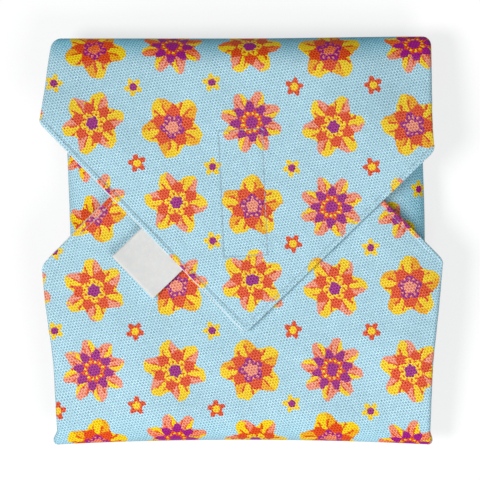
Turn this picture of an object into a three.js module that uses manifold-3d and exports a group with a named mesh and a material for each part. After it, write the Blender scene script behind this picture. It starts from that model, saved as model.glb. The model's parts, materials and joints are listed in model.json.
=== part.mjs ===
// Reusable sandwich bag: a hemmed cloth with a food-safe liner, folded round its filling like an envelope.
// The two side corners fold in first, the lower corner folds up over them, and the top corner closes over
// all with hook-and-loop tape. Each corner turns on its own fold, at half the height of the filled bag.
// Millimetres, +Z up, lying on its back. Origin: on the underside, midway between the four folds.
import * as THREE from "three";
import { mergeVertices } from "three/addons/utils/BufferGeometryUtils.js";
import Module from "manifold-3d";

// Driving dimensions of the filled bag
const bodyWidth = 142; // between the two side folds
const bodyLength = 161; // from the bottom fold to the top fold
const bodyThickness = 26; // underside to the top corner's outer face
const foldRadius = 13; // how far each rounded fold reaches in from its edge
const foldGap = 0.15; // each corner's edge to its fold line
const rimGap = 0.3; // the back's rim to the fold line

// Swell of the filled bag: its full thickness in the middle, sinking towards the ends at its four corners
const swellReach = 48; // from an end's fold to the full thickness, at a corner
const swellStart = 45; // in from a side fold, where the sinking towards a corner starts
const swellFull = 5; // in from a side fold, where it is at its most
const swellShare = 0.8; // share of an end's rise that is drawn out over swellReach there

// Plies and the room between them
const clothThickness = 0.6;
const linerThickness = 0.3;
const plyGap = 0.2;
const layerGap = 0.8; // between one folded corner and the next, with room for its thread

// Top corner, measured from the top fold
const topFoldOverhangLeft = 4.2; // past the body's side, at the fold
const topFoldOverhangRight = 3;
const topShoulderOverhangLeft = 10.2; // past the body's side, at the shoulder
const topShoulderOverhangRight = 5.4;
const topShoulderDropLeft = 33; // from the fold down to the shoulder
const topShoulderDropRight = 44.5;
const topCornerSkew = 0.9; // degrees that the cloth's square corner is turned from upright

// Lower corner, measured from the bottom fold
const lowerFoldOverhang = 3.6;
const lowerShoulderOverhang = 8.5;
const lowerShoulderDrop = 71.5;
const lowerReach = 99.5; // from the fold to the blunt end, which the top corner hides

// Side corners, measured from the side folds
const centreGap = 1; // between the two side corners' ends
const sideEndClearance = 1.5; // from a side corner's fold to the rounded ends of the bag
const sideBluntEnd = 10; // half width of a side corner's blunt end

// Closure tape, label and thread
const tapeWidth = 20;
const tapeThickness = 0.9;
const hookTapeLength = 53;
const hookTapeDrop = 61.7; // from the top fold to the tape's middle
const hookTapeTilt = 2.6; // degrees
const loopTapeLength = 36;
const loopTapeMargin = 4; // from the lower corner's blunt end
const labelWidth = 23.5;
const labelLength = 16.5;
const labelThickness = 0.8;
const labelFromTip = 47.3; // along the top corner's left edge, to the label's middle
const labelGap = 0.5;
const threadWidth = 0.5;
const threadThickness = 0.3;
const threadGap = 0.1;
const hemInset = 2.2; // from an edge to its stitch line
const tapeStitchInset = 1.3;

const foldSegments = 8; // steps in each rounded fold
const swellSegments = 4; // steps in the swell beyond it
const cutHeight = 4 * bodyThickness; // taller than any piece that an outline cuts

// Heights, from the top corner's outer face down to the side corners
const foldHeight = bodyThickness / 2;
const plyStack = clothThickness + plyGap + linerThickness;
const topFace = bodyThickness;
const hookTapeTop = topFace - plyStack - plyGap;
const loopTapeTop = hookTapeTop - tapeThickness - plyGap;
const lowerFace = loopTapeTop - tapeThickness - plyGap;
const tuckThickness = clothThickness + linerThickness;
const tuckInset = plyStack + plyGap; // from a corner's outer face to its tucks
const sideFace = lowerFace - tuckInset - tuckThickness - layerGap;
const linerInset = clothThickness + plyGap;

const wasm = await Module();
wasm.setup();

const printedCloth = material("#a9d4e4", 0.85);
const linerFilm = material("#eceeeb", 0.4);
const sewingThread = material("#e9ecec", 0.7);
const loopPile = material("#e8e9e6", 0.95);
const hookPile = material("#dfe2e0", 0.6);
const wovenRibbon = material("#e6e5e1", 0.8);

function material(color, roughness) {
  return new THREE.MeshStandardMaterial({ color, roughness, metalness: 0 });
}

// A closed three.js geometry as a solid that can be cut
function solidOf(geometry) {
  const bare = new THREE.BufferGeometry();
  bare.setAttribute("position", geometry.getAttribute("position"));
  bare.setIndex(geometry.index);
  const merged = mergeVertices(bare, 1e-4);
  const vertProperties = merged.attributes.position.array;
  const triVerts = new Uint32Array(merged.index.array);
  return new wasm.Manifold(new wasm.Mesh({ numProp: 3, vertProperties, triVerts }));
}

function geometryOf(solid) {
  const mesh = solid.getMesh();
  const geometry = new THREE.BufferGeometry();
  geometry.setAttribute("position", new THREE.BufferAttribute(mesh.vertProperties, 3));
  geometry.setIndex(new THREE.BufferAttribute(mesh.triVerts, 1));
  geometry.computeVertexNormals();
  return geometry;
}

function named(name, geometry, finish) {
  const mesh = new THREE.Mesh(geometry, finish);
  mesh.name = name;
  return mesh;
}

function shapeOf(points) {
  return new THREE.Shape(points.map(([x, y]) => new THREE.Vector2(x, y)));
}

// A flat piece of the given plan, from one height up to another
function plate(shape, bottom, top) {
  const options = { depth: top - bottom, bevelEnabled: false, curveSegments: foldSegments };
  return new THREE.ExtrudeGeometry(shape, options).translate(0, 0, bottom);
}

// The back: a flat panel whose four edges curve up to the fold lines, inset from the outer face
function dish(inset, thickness) {
  const ringAt = (offset, angle) => {
    const reach = (foldRadius - offset) * Math.sin(angle) - foldRadius;
    const x = bodyWidth / 2 + reach;
    const y = bodyLength / 2 + reach;
    const z = foldHeight - (foldHeight - offset) * Math.cos(angle);
    return [[-x, -y, z], [x, -y, z], [x, y, z], [-x, y, z]];
  };
  const wall = (offset) => {
    const lastAngle = Math.acos(rimGap / (foldHeight - offset));
    const steps = Array.from({ length: foldSegments + 1 }, (_, i) => i / foldSegments);
    return steps.map((share) => ringAt(offset, share * lastAngle));
  };
  const rings = [...wall(inset), ...wall(inset + thickness).reverse()];
  const corners = 4;
  const index = [0, 2, 1, 0, 3, 2];
  for (let ring = 0; ring + 1 < rings.length; ring++) {
    for (let side = 0; side < corners; side++) {
      const next = (side + 1) % corners;
      const [a, b] = [ring * corners + side, ring * corners + next];
      const [c, d] = [b + corners, a + corners];
      index.push(a, b, c, a, c, d);
    }
  }
  const last = (rings.length - 1) * corners;
  index.push(last, last + 1, last + 2, last, last + 2, last + 3);
  const geometry = new THREE.BufferGeometry();
  geometry.setAttribute("position", new THREE.Float32BufferAttribute(rings.flat(2), 3));
  geometry.setIndex(index);
  return geometry;
}

// Evenly spaced values past the first, up to and with the last
function spaced(first, last, count) {
  return Array.from({ length: count }, (_, i) => first + ((last - first) * (i + 1)) / count);
}

// Share of an end corner's rise at a place: across from the bag's middle and in from the end's fold, with the
// angle that the cloth has turned round that fold
function endSwell(across, inward, turn) {
  const fromSide = bodyWidth / 2 - Math.abs(across);
  const sunk = swellShare * (1 - THREE.MathUtils.smoothstep(fromSide, swellFull, swellStart));
  const drawnOut = Math.sin((Math.PI / 2) * Math.min(inward / swellReach, 1));
  return (1 - sunk) * Math.sin(turn) + sunk * drawnOut;
}

// Outer face of a folded corner, in the corner's own frame: its fold line lies along X at y = 0, and the face
// rises round the fold and runs on towards +Y. The lines are where its mesh bends.
function endSurface(face) {
  const start = foldHeight + foldGap;
  const half = bodyWidth / 2;
  const rightLines = [half - swellStart, ...spaced(half - swellStart, half - swellFull, swellSegments)];
  return {
    acrossLines: [...rightLines.map((x) => -x).reverse(), ...rightLines],
    inwardLines: spaced(foldRadius, swellReach, swellSegments),
    heightAt: (x, y, turn) => start + (face - start) * endSwell(x, y, turn),
  };
}

// The side corners lie a steady depth under the lower corner's face, so they sink towards the ends with it
function sideSurface() {
  const start = foldHeight + foldGap;
  const half = bodyLength / 2;
  const upperLines = [half - swellReach, ...spaced(half - swellReach, half - foldRadius, swellSegments)];
  const depth = lowerFace - sideFace;
  return {
    acrossLines: [...upperLines.map((x) => -x).reverse(), ...upperLines],
    inwardLines: spaced(foldRadius, swellStart, swellSegments),
    heightAt: (x, y, turn) => {
      const swell = endSwell(bodyWidth / 2 - y, half - Math.abs(x), Math.PI / 2);
      return start + ((lowerFace - start) * swell - depth) * Math.sin(turn);
    },
  };
}

// A closed sheet between two grids of points, rows by columns
function closedSheet(upper, lower) {
  const [rows, columns] = [upper.length, upper[0].length];
  const below = rows * columns;
  const at = (row, column) => row * columns + column;
  const index = [];
  const quad = (a, b, c, d) => index.push(a, b, c, a, c, d);
  for (let row = 0; row + 1 < rows; row++) {
    for (let column = 0; column + 1 < columns; column++) {
      const [a, b] = [at(row, column), at(row, column + 1)];
      const [c, d] = [b + columns, a + columns];
      quad(a, b, c, d);
      index.push(a + below, c + below, b + below, a + below, d + below, c + below);
    }
    const [left, right] = [at(row, 0), at(row, columns - 1)];
    quad(left, left + columns, left + columns + below, left + below);
    quad(right + columns, right, right + below, right + columns + below);
  }
  for (let column = 0; column + 1 < columns; column++) {
    const [first, last] = [at(0, column), at(rows - 1, column)];
    quad(first + 1, first, first + below, first + 1 + below);
    quad(last, last + 1, last + 1 + below, last + below);
  }
  const geometry = new THREE.BufferGeometry();
  geometry.setAttribute("position", new THREE.Float32BufferAttribute([...upper, ...lower].flat(2), 3));
  geometry.setIndex(index);
  return geometry;
}

// One ply of a folded corner, inset from the corner's outer face and cut to its plan outline
function foldedPly(outline, surface, inset, thickness) {
  const [xs, ys] = [outline.map(([x]) => x), outline.map(([, y]) => y)];
  const margin = foldRadius / 2;
  const [left, right, end] = [Math.min(...xs) - margin, Math.max(...xs) + margin, Math.max(...ys) + margin];
  const across = [left, ...surface.acrossLines.filter((x) => x > left && x < right), right];
  const turns = [0, ...spaced(0, Math.PI / 2, foldSegments)];
  const rows = [
    ...turns.map((turn) => ({ y: foldRadius * (1 - Math.cos(turn)), turn })),
    ...surface.inwardLines.filter((y) => y < end).map((y) => ({ y, turn: Math.PI / 2 })),
    { y: end, turn: Math.PI / 2 },
  ];
  const grid = (offset) => rows.map(({ y, turn }) => across.map((x) => [
    x,
    y + offset * Math.cos(turn),
    surface.heightAt(x, y, turn) - offset * Math.sin(turn),
  ]));
  const sheet = closedSheet(grid(inset), grid(inset + thickness));
  const cutter = plate(shapeOf(outline), -cutHeight, cutHeight);
  return geometryOf(solidOf(sheet).intersect(solidOf(cutter)));
}

// An open run of points moved sideways to its left, with mitred corners
function offsetRun(points, distance) {
  const normals = points.slice(1).map(([x, y], i) => {
    const [dx, dy] = [x - points[i][0], y - points[i][1]];
    const length = Math.hypot(dx, dy);
    return [-dy / length, dx / length];
  });
  return points.map(([x, y], i) => {
    const [ax, ay] = normals[Math.max(i - 1, 0)];
    const [bx, by] = normals[Math.min(i, normals.length - 1)];
    const mitre = distance / (1 + ax * bx + ay * by);
    return [x + (ax + bx) * mitre, y + (ay + by) * mitre];
  });
}

// A row of stitches along an edge, as one run of thread lying on a corner's outer face
function hemThread(edge, surface) {
  const outer = offsetRun(edge, hemInset - threadWidth / 2);
  const inner = offsetRun(edge, hemInset + threadWidth / 2).reverse();
  return foldedPly([...outer, ...inner], surface, -threadGap - threadThickness, threadThickness);
}

function rectangle(width, length) {
  const [x, y] = [width / 2, length / 2];
  return [[-x, -y], [x, -y], [x, y], [-x, y]];
}

// The stitched rectangle that holds a tape, seen from the side where its thread lies
function tapeThread(length, bottom) {
  const inset = 2 * tapeStitchInset;
  const shape = shapeOf(rectangle(tapeWidth - inset + threadWidth, length - inset + threadWidth));
  shape.holes.push(shapeOf(rectangle(tapeWidth - inset - threadWidth, length - inset - threadWidth)));
  return plate(shape, bottom, bottom + threadThickness);
}

function tape(length, top) {
  return plate(shapeOf(rectangle(tapeWidth, length)), top - tapeThickness, top);
}

// Groups that carry each corner's frame to its fold
function cornerFrame(x, y, turn) {
  const frame = new THREE.Group();
  frame.position.set(x, y, 0);
  frame.rotation.z = turn;
  return frame;
}

// Back panel
const back = new THREE.Group();
back.add(named("back_cloth", dish(0, clothThickness), printedCloth));
back.add(named("back_liner", dish(linerInset, linerThickness), linerFilm));

// Side corners: blunt points that meet along the bag's middle, with edges near 45 degrees
function sideCorner(side, x, turn) {
  const reach = (bodyWidth - centreGap) / 2;
  const shoulder = foldRadius + sideEndClearance;
  const foldHalf = bodyLength / 2 - shoulder;
  const edge = [
    [foldHalf, shoulder],
    [sideBluntEnd, reach],
    [-sideBluntEnd, reach],
    [-foldHalf, shoulder],
  ];
  const outline = [[-foldHalf, 0], [foldHalf, 0], ...edge];
  const frame = cornerFrame(x, 0, turn);
  const surface = sideSurface();
  const cloth = foldedPly(outline, surface, 0, clothThickness);
  const liner = foldedPly(outline, surface, linerInset, linerThickness);
  frame.add(named(`${side}_flap_cloth`, cloth, printedCloth));
  frame.add(named(`${side}_flap_liner`, liner, linerFilm));
  frame.add(named(`${side}_flap_hem_thread`, hemThread(edge, surface), sewingThread));
  return frame;
}

// The part of a side corner that is folded in under an end corner, behind its slanted side edge
function tuck(foldX, shoulder, surface) {
  const inward = -Math.sign(foldX);
  const outline = [[foldX, 0], [foldX + inward * shoulder[1], 0], shoulder];
  return foldedPly(outline, surface, tuckInset, tuckThickness);
}

// Lower corner
function lowerCorner() {
  const foldHalf = bodyWidth / 2 + lowerFoldOverhang;
  const shoulder = [bodyWidth / 2 + lowerShoulderOverhang, lowerShoulderDrop];
  const bluntHalf = shoulder[0] - (lowerReach - lowerShoulderDrop);
  const mirrored = ([x, y]) => [-x, y];
  const edge = [shoulder, [bluntHalf, lowerReach], [-bluntHalf, lowerReach], mirrored(shoulder)];
  const outline = [[-foldHalf, 0], [foldHalf, 0], ...edge];
  const frame = cornerFrame(0, -bodyLength / 2, 0);
  const surface = endSurface(lowerFace);
  frame.add(named("lower_flap_cloth", foldedPly(outline, surface, 0, clothThickness), printedCloth));
  frame.add(named("lower_flap_liner", foldedPly(outline, surface, linerInset, linerThickness), linerFilm));
  frame.add(named("lower_left_tuck", tuck(-foldHalf, mirrored(shoulder), surface), printedCloth));
  frame.add(named("lower_right_tuck", tuck(foldHalf, shoulder, surface), printedCloth));
  frame.add(named("lower_flap_hem_thread", hemThread(edge, surface), sewingThread));
  const tapeSeat = new THREE.Group();
  tapeSeat.position.y = lowerReach - loopTapeMargin - loopTapeLength / 2;
  tapeSeat.add(named("loop_tape", tape(loopTapeLength, loopTapeTop), loopPile));
  const threadBottom = lowerFace - plyStack - threadGap - threadThickness;
  tapeSeat.add(named("loop_tape_thread", tapeThread(loopTapeLength, threadBottom), sewingThread));
  frame.add(tapeSeat);
  return frame;
}

// Top corner. Its frame is turned half round, so the bag's left side is at +X here.
function topCorner() {
  const half = bodyWidth / 2;
  const skew = THREE.MathUtils.degToRad(topCornerSkew);
  const left = [half + topShoulderOverhangLeft, topShoulderDropLeft];
  const right = [-half - topShoulderOverhangRight, topShoulderDropRight];
  const leftSlope = Math.tan(Math.PI / 4 + skew);
  const rightSlope = Math.tan(Math.PI / 4 - skew);
  const tipX = (left[1] - right[1] + leftSlope * left[0] + rightSlope * right[0]) / (leftSlope + rightSlope);
  const tip = [tipX, left[1] + leftSlope * (left[0] - tipX)];
  const edge = [left, tip, right];
  const foldLeft = half + topFoldOverhangLeft;
  const foldRight = -half - topFoldOverhangRight;
  const outline = [[foldRight, 0], [foldLeft, 0], ...edge];
  const frame = cornerFrame(0, bodyLength / 2, Math.PI);
  const surface = endSurface(topFace);
  frame.add(named("top_flap_cloth", foldedPly(outline, surface, 0, clothThickness), printedCloth));
  frame.add(named("top_flap_liner", foldedPly(outline, surface, linerInset, linerThickness), linerFilm));
  frame.add(named("top_left_tuck", tuck(foldLeft, left, surface), printedCloth));
  frame.add(named("top_right_tuck", tuck(foldRight, right, surface), printedCloth));
  frame.add(named("top_flap_hem_thread", hemThread(edge, surface), sewingThread));
  const tapeSeat = new THREE.Group();
  tapeSeat.position.y = hookTapeDrop;
  tapeSeat.rotation.z = THREE.MathUtils.degToRad(hookTapeTilt);
  tapeSeat.add(named("hook_tape", tape(hookTapeLength, hookTapeTop), hookPile));
  const threadBottom = topFace + threadGap;
  tapeSeat.add(named("hook_tape_thread", tapeThread(hookTapeLength, threadBottom), sewingThread));
  frame.add(tapeSeat);
  frame.add(label(tip, left));
  return frame;
}

// Folded ribbon label, caught in the hem of the top corner's left edge and pointing square out of it
function label(tip, shoulder) {
  const [dx, dy] = [shoulder[0] - tip[0], shoulder[1] - tip[1]];
  const length = Math.hypot(dx, dy);
  const along = labelFromTip / length;
  const frame = new THREE.Group();
  frame.position.set(tip[0] + dx * along, tip[1] + dy * along, topFace - labelThickness);
  frame.rotation.z = Math.atan2(dy, dx);
  const bend = labelThickness / 2;
  const profile = new THREE.Shape();
  profile.moveTo(labelGap, 0);
  profile.lineTo(labelGap + labelLength - bend, 0);
  profile.absarc(labelGap + labelLength - bend, bend, bend, -Math.PI / 2, Math.PI / 2, false);
  profile.lineTo(labelGap, labelThickness);
  const options = { depth: labelWidth, bevelEnabled: false, curveSegments: foldSegments };
  const ribbon = new THREE.ExtrudeGeometry(profile, options).translate(0, 0, -labelWidth / 2);
  const profileToFrame = new THREE.Matrix4().makeBasis(
    new THREE.Vector3(0, 1, 0),
    new THREE.Vector3(0, 0, 1),
    new THREE.Vector3(1, 0, 0),
  );
  frame.add(named("label_ribbon", ribbon.applyMatrix4(profileToFrame), wovenRibbon));
  return frame;
}

const sandwichBag = new THREE.Group();
sandwichBag.add(back);
sandwichBag.add(sideCorner("left", -bodyWidth / 2, -Math.PI / 2));
sandwichBag.add(sideCorner("right", bodyWidth / 2, Math.PI / 2));
sandwichBag.add(lowerCorner());
sandwichBag.add(topCorner());

export default sandwichBag;
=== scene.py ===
import json
import math
import bpy
import numpy as np
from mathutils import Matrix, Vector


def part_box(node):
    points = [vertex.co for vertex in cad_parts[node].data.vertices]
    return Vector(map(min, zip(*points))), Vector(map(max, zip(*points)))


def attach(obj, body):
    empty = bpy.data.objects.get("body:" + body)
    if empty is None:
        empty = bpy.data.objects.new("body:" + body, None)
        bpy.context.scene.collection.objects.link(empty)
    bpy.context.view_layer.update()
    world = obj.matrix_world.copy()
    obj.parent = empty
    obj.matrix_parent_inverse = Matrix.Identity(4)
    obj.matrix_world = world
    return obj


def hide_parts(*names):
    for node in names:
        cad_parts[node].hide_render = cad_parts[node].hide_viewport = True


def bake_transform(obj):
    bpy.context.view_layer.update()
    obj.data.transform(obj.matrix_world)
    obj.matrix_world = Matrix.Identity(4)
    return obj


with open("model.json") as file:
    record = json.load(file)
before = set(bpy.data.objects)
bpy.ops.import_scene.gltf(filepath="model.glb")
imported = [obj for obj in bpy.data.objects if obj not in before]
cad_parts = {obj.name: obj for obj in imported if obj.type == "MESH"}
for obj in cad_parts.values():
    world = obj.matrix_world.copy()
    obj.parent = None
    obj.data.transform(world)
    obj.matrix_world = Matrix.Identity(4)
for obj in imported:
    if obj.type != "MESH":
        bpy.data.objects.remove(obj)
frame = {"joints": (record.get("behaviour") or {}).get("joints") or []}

scene = bpy.context.scene
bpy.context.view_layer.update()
mm = 0.001

# Fold lines, faces and corners, read from the frame in millimetres
jointPlace = {joint["name"]: np.array(joint["pos_m"]) / mm for joint in frame["joints"]}
jointAxis = {joint["name"]: np.array(joint["axis"]) for joint in frame["joints"]}


def boxOf(node):
    low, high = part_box(node)
    return np.array(low) / mm, np.array(high) / mm


def middleOf(node):
    low, high = boxOf(node)
    return (low[:2] + high[:2]) / 2


halfWidth = jointPlace["right_flap_fold"][0]
halfLength = jointPlace["top_flap_fold"][1]
foldHeight = jointPlace["top_flap_fold"][2]

plies = {
    "foldRadius": 13.0,  # how far each rounded fold reaches in from its edge
    "cloth": 0.38,
    "liner": 0.22,
    "linerBelow": 0.55,  # from the cloth's outer face down to its liner
    "tuckBelow": 1.25,
    "clothStep": 0.95,  # mesh spacing on the cloth
    "linerStep": 1.6,
    "seamHeight": 9.6,  # where the back's wall meets the corners' cloth
    "seamLap": 2.4,  # how far the corners' cloth runs on below that
}
foldRadius = plies["foldRadius"]
quarterGain = foldRadius * (math.pi / 2 - 1)  # cloth that a quarter turn takes beyond its reach


def smooth(value, low, high):
    share = np.clip((value - low) / (high - low), 0, 1)
    return share * share * (3 - 2 * share)


def hump(value, width):
    return np.exp(-((value / width) ** 2))


def waves(a, d, seed, shortest, longest, count=7):
    draw = np.random.default_rng(seed)
    total = np.zeros(np.shape(a))
    for _ in range(count):
        heading = draw.uniform(0, math.pi)
        length = draw.uniform(shortest, longest)
        phase = draw.uniform(0, 2 * math.pi)
        across = a * math.cos(heading) + d * math.sin(heading)
        total = total + np.sin(2 * math.pi * across / length + phase)
    return total / math.sqrt(count)


# Corner outlines: places are (along the fold, in from the fold)
slips = {  # how far each soft shoulder lies off its pressed place, along and in
    "top_left_tuck": (-0.4, 0.6),
    "top_right_tuck": (0.2, 0.5),
    "lower_left_tuck": (-1.1, -1.1),
    "lower_right_tuck": (0.7, 1.2),
}


def tuckSide(node, side, foldY):
    low, high = boxOf(node)
    drop = abs(foldY - (low[1] if foldY > 0 else high[1]))
    shoulder = low[0] if side < 0 else high[0]
    inner = high[0] if side < 0 else low[0]
    across, inward = slips[node]
    return (inner + side * drop, 0.0), (shoulder + across, drop + inward)


def topOutline():
    tipDrop = halfLength - boxOf("top_flap_cloth")[0][1]
    tipAcross = 0.93
    left = tuckSide("top_left_tuck", -1, halfLength)
    right = tuckSide("top_right_tuck", 1, halfLength)
    return left, [(tipAcross, tipDrop)], right


def lowerOutline():
    reach = boxOf("lower_flap_cloth")[1][1] + halfLength
    left = tuckSide("lower_left_tuck", -1, -halfLength)
    right = tuckSide("lower_right_tuck", 1, -halfLength)
    bluntLeft, bluntRight = (abs(side[1][0]) - (reach - side[1][1]) for side in (left, right))
    return left, [(-bluntLeft, reach), (bluntRight, reach)], right


def sideOutline():
    reach = boxOf("left_flap_cloth")[1][0] + halfWidth
    blunt = halfLength - reach
    trim = 1.5
    wide = halfLength - trim
    left = (-wide, 0.0), (-wide, trim)
    right = (wide, 0.0), (wide, trim)
    return left, [(-blunt, reach), (blunt, reach)], right


def endSpread(a):
    return 3.4 * smooth(np.abs(a), 50, halfLength)  # the side folds open out at their ends


# Pairs are for the left and right sides
topFlap = {
    "body": "top_flap",
    "origin": (0, halfLength),
    "along": (1, 0),
    "inward": (0, -1),
    "face": boxOf("top_flap_cloth")[1][2],
    "outline": topOutline(),
    "cornerRound": (3.4, 2.8),
    "shoulderRound": 0.7,
    "tipRound": 1.3,
    "sideDip": (0.0, 0.0),
    "foldShift": lambda a: -0.3 - 0.8 * smooth(a, -5, 76),
    "crown": 0.9,
    "sideDroop": (0.8, 1.8),
    "hemDroop": (0.5, 1.5),
    "linerPeek": (0.34, 0.06),  # how far the liner shows past the hems
    "waveHeight": 0.26,
    "seed": 11,
}
lowerFlap = {
    "body": "lower_flap",
    "origin": (0, -halfLength),
    "along": (1, 0),
    "inward": (0, 1),
    "face": boxOf("lower_flap_cloth")[1][2],
    "outline": lowerOutline(),
    "cornerRound": (1.2, 1.0),
    "shoulderRound": 1.1,
    "sideDip": (1.8, 1.2),
    "foldShift": lambda a: 0.4 - 1.7 * (a / halfWidth) ** 2,
    "crown": 0.6,
    "sideDroop": (1.6, 2.2),
    "hemDroop": (0.6, 0.8),
    "linerPeek": (0.34, 0.06),
    "waveHeight": 0.28,
    "seed": 23,
}
leftFlap = {
    "body": "left_flap",
    "origin": (-halfWidth, 0),
    "along": (0, 1),
    "inward": (1, 0),
    "face": boxOf("left_flap_cloth")[1][2],
    "outline": sideOutline(),
    "cornerRound": (1.0, 1.0),
    "shoulderRound": 0.5,
    "sideDip": (0.0, 0.0),
    "foldShift": lambda a: 1.9 * hump(a + 5, 36) - endSpread(a),
    "slack": 0.07,  # how far the cloth sags where no other corner covers it
    "crisp": 0.0,  # how sharply it folds there
    "crown": 0.3,
    "sideDroop": (0.0, 0.0),
    "hemDroop": (0.2, 0.2),
    "linerPeek": (0.1, 0.1),
    "waveHeight": 0.14,
    "seed": 37,
}
rightFlap = dict(leftFlap, body="right_flap", origin=(halfWidth, 0), inward=(-1, 0), seed=41,
                 foldShift=lambda a: -1.9 * hump(a - 2, 45) - endSpread(a), slack=0.3, crisp=1.0)
flaps = [topFlap, lowerFlap, leftFlap, rightFlap]

hookTape = {
    "width": 20.0,
    "length": 53.0,
    "centre": middleOf("hook_tape"),
    "tilt": math.radians(2.6),
    "raise": 0.22,  # how far the tape lifts the cloth over it
    "raiseEdge": (-0.6, 0.9),
    "groove": 0.26,  # how far its stitches draw the cloth in
    "grooveWidth": 0.9,
    "crease": 0.45,  # half the width of the painted shade along the crease that they press
    # how dark the painted shade in the crease is
    "creaseShadeTone": 0.76,
    "stitchInset": 1.3,
}
hem = {
    "inset": 2.2,  # from the edge to the stitches
    "puff": 0.28,
    "groove": 0.13,
    "grooveWidth": 0.36,
    "pucker": 0.1,
    "puckerLength": 5.3,
    "puckerWander": 2.2,
    "puckerDrift": 9.1,
    "puckerWidth": 2.1,
}
drape = {
    "droopStart": 0.72,  # share of the way out where a corner's sides begin to droop
    "droopMost": 1.1,
    "sideBlend": 40.0,  # left values pass into right ones this far either side of the middle
    "hemReach": 17.0,
    "longWaves": (17, 62),
    "fineWaves": (6, 13),
    "fineHeight": 0.05,
    "growIn": (2, 22),  # distance from the fold over which all this sets in
    "dipStart": (0.5, 5),  # distances over which the sides are drawn in above a fold
    "dipEnd": (30, 62),
    "shiftReach": 34.0,  # how far in from a fold its shift is felt
    "tipLeast": 0.02,
}


def hemRun(flap):
    left, ends, right = flap["outline"]
    return [left[1], *ends, right[1]]


def hemDistance(flap, a, d):
    # distance in from the nearest hem, and the place along that hem
    run = hemRun(flap)
    nearest = np.full(np.shape(a), 1e3)
    place = np.zeros(np.shape(a))
    for (a0, d0), (a1, d1) in zip(run, run[1:]):
        length = math.hypot(a1 - a0, d1 - d0)
        ta, td = (a1 - a0) / length, (d1 - d0) / length
        away = (a - a0) * td - (d - d0) * ta
        closer = away < nearest
        place = np.where(closer, (a - a0) * ta + (d - d0) * td, place)
        nearest = np.where(closer, away, nearest)
    return nearest, place


def edgeTable(points, rounding):
    step = 0.25
    beyond = 15.0
    d = np.arange(-beyond, points[-1][1] + beyond, step)
    known = np.array(points)
    a = np.interp(d, known[:, 1], known[:, 0])
    for (a0, d0), (a1, d1), past in ((points[1], points[0], d < points[0][1]),
                                     (points[-2], points[-1], d > points[-1][1])):
        slope = (a1 - a0) / (d1 - d0)
        a = np.where(past, a1 + slope * (d - d1), a)
    reach = int(4 * rounding / step)
    kernel = hump(np.arange(-reach, reach + 1) * step, rounding * math.sqrt(2))
    padded = np.pad(a, reach, mode="reflect", reflect_type="odd")
    return d, np.convolve(padded, kernel / kernel.sum(), mode="valid")


for flap in flaps:
    left, ends, right = flap["outline"]
    flap["leftEdge"] = edgeTable([*left, ends[0]], flap["shoulderRound"])
    flap["rightEdge"] = edgeTable([*right, ends[-1]], flap["shoulderRound"])
    flap["end"] = ends[0][1]
    flap["shoulders"] = (left[1][1], right[1][1])


def cornerInset(radius, d):
    return radius - np.sqrt(np.maximum(radius**2 - np.clip(radius - d, 0, radius) ** 2, 0))


def edgesAt(flap, d):
    leftRound, rightRound = flap["cornerRound"]
    dip = smooth(d, *drape["dipStart"]) * (1 - smooth(d, *drape["dipEnd"]))
    left = np.interp(d, *flap["leftEdge"]) + cornerInset(leftRound, d) + flap["sideDip"][0] * dip
    right = np.interp(d, *flap["rightEdge"]) - cornerInset(rightRound, d) - flap["sideDip"][1] * dip
    if "tipRound" in flap:
        radius = flap["tipRound"]
        middle = (left + right) / 2
        centre = flap["end"] - radius * math.sqrt(2)
        half = np.sqrt(np.maximum(radius**2 - (d - centre) ** 2, drape["tipLeast"]))
        inTip = d > centre + radius / math.sqrt(2)
        left = np.where(inTip, middle - half, left)
        right = np.where(inTip, middle + half, right)
    return left, right


def tapeDistance(tape, x, y):
    # distance outside the tape's rectangle, less than zero inside it
    dx, dy = x - tape["centre"][0], y - tape["centre"][1]
    u = np.abs(dx * math.cos(tape["tilt"]) + dy * math.sin(tape["tilt"]))
    v = np.abs(dy * math.cos(tape["tilt"]) - dx * math.sin(tape["tilt"]))
    return np.maximum(u - tape["width"] / 2, v - tape["length"] / 2)


def placeOf(flap, a, d):
    (ox, oy), (ax, ay), (ix, iy) = flap["origin"], flap["along"], flap["inward"]
    return ox + ax * a + ix * d, oy + ay * a + iy * d


def flapPlace(flap, x, y):
    (ox, oy), (ax, ay), (ix, iy) = flap["origin"], flap["along"], flap["inward"]
    return (x - ox) * ax + (y - oy) * ay, (x - ox) * ix + (y - oy) * iy


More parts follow.
